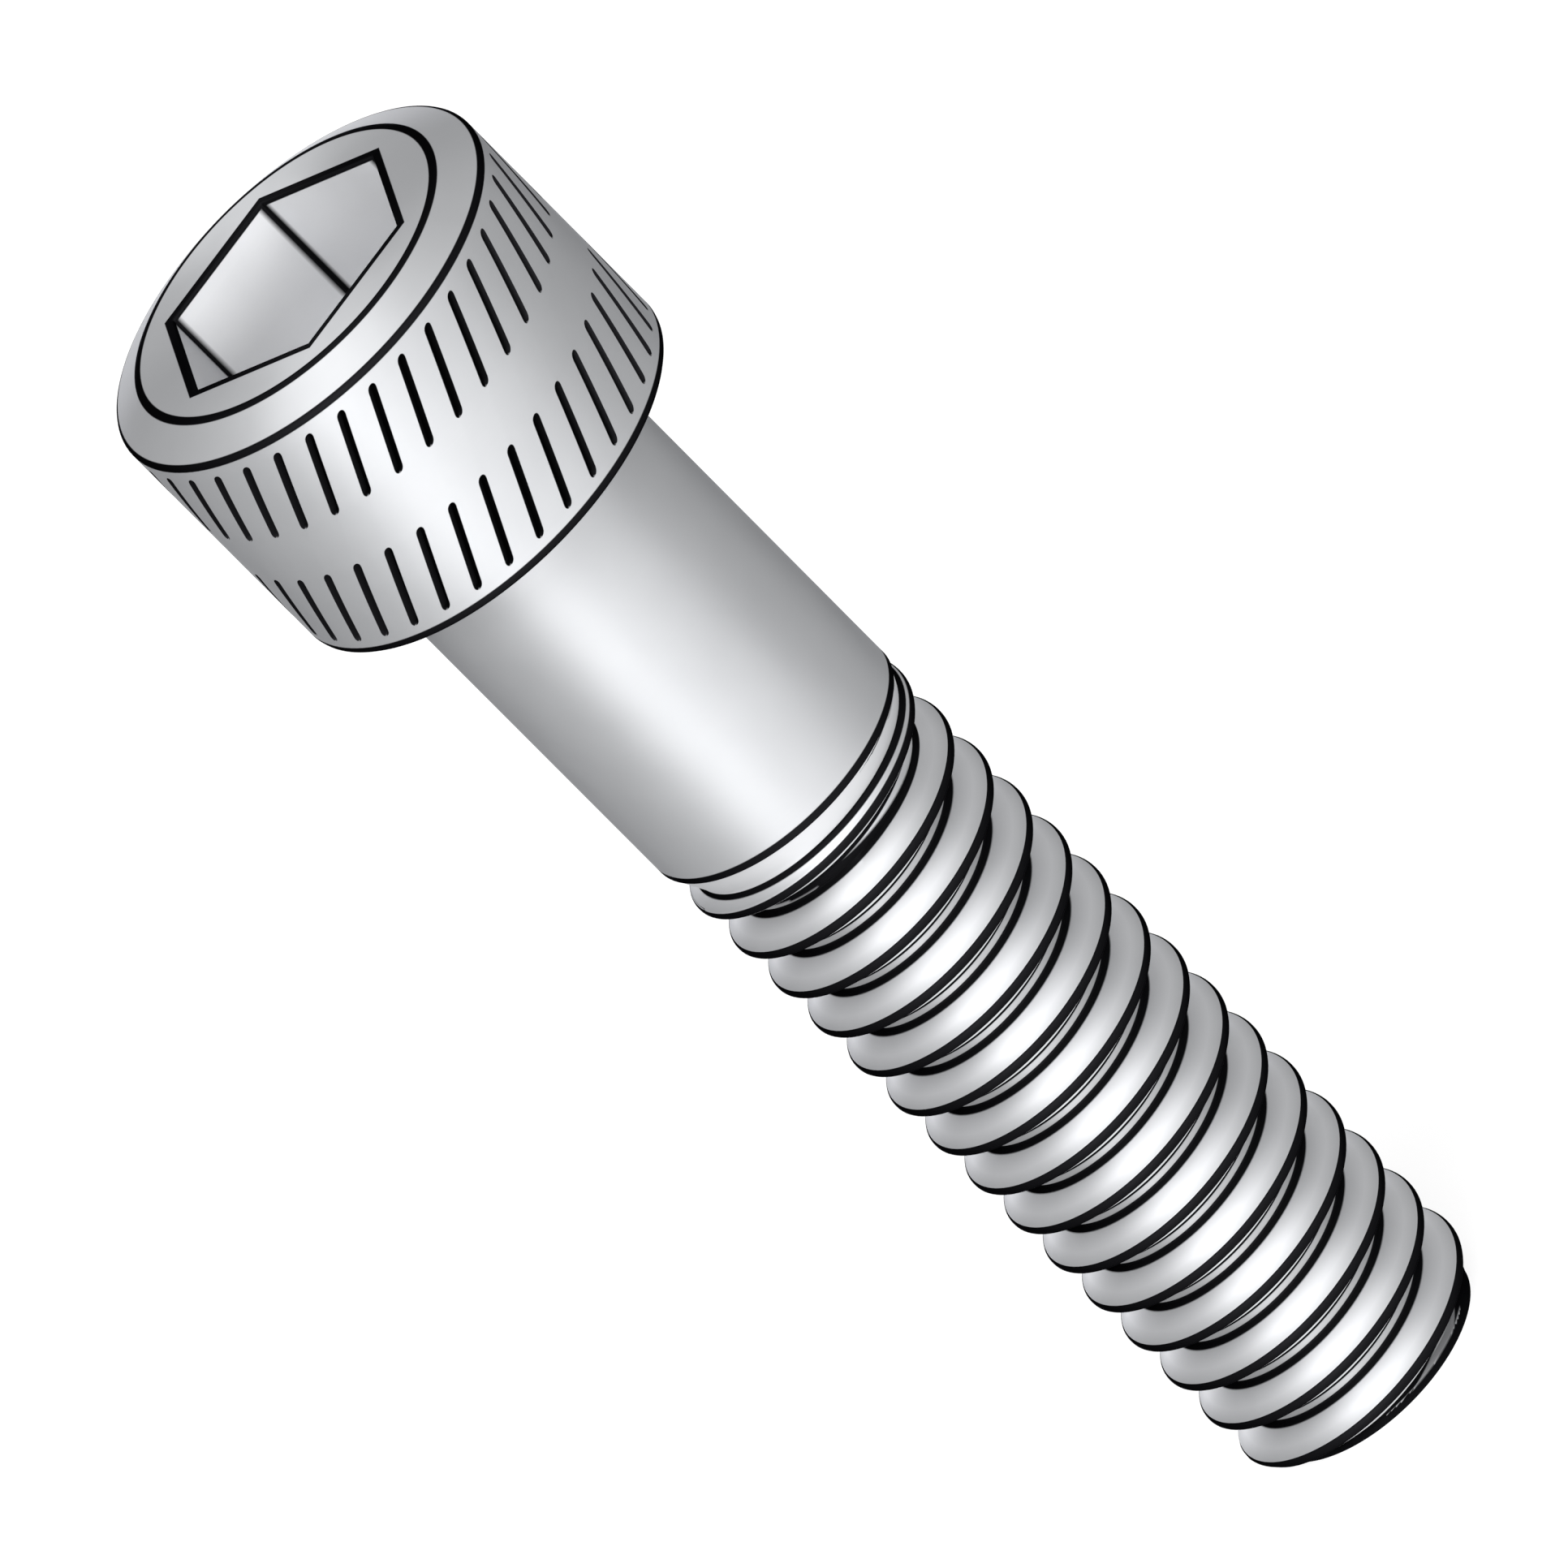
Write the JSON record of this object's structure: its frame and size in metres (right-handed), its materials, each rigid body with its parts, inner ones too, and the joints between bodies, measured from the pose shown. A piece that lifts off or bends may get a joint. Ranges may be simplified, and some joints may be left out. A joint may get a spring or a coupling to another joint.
{
  "type": "hex socket cap screw",
  "caption": "Hex socket cap screw with a twice-knurled round head, a plain body and a coarse right-hand thread that ends in a flat sloped point.",
  "frame": {"origin": "centre of the flat thread end, on which the screw stands", "axes": "+Z along the screw's axis from the thread end to the head, +X and +Y square to it"},
  "size_m": [0.0096, 0.0096, 0.0349],
  "materials": {
    "steel": "satin bright steel, turned faces, with a dark film left in the thread roots and knurl grooves"
  },
  "bodies": {
    "root": {"cap_screw": "steel"}
  },
  "joints": []
}
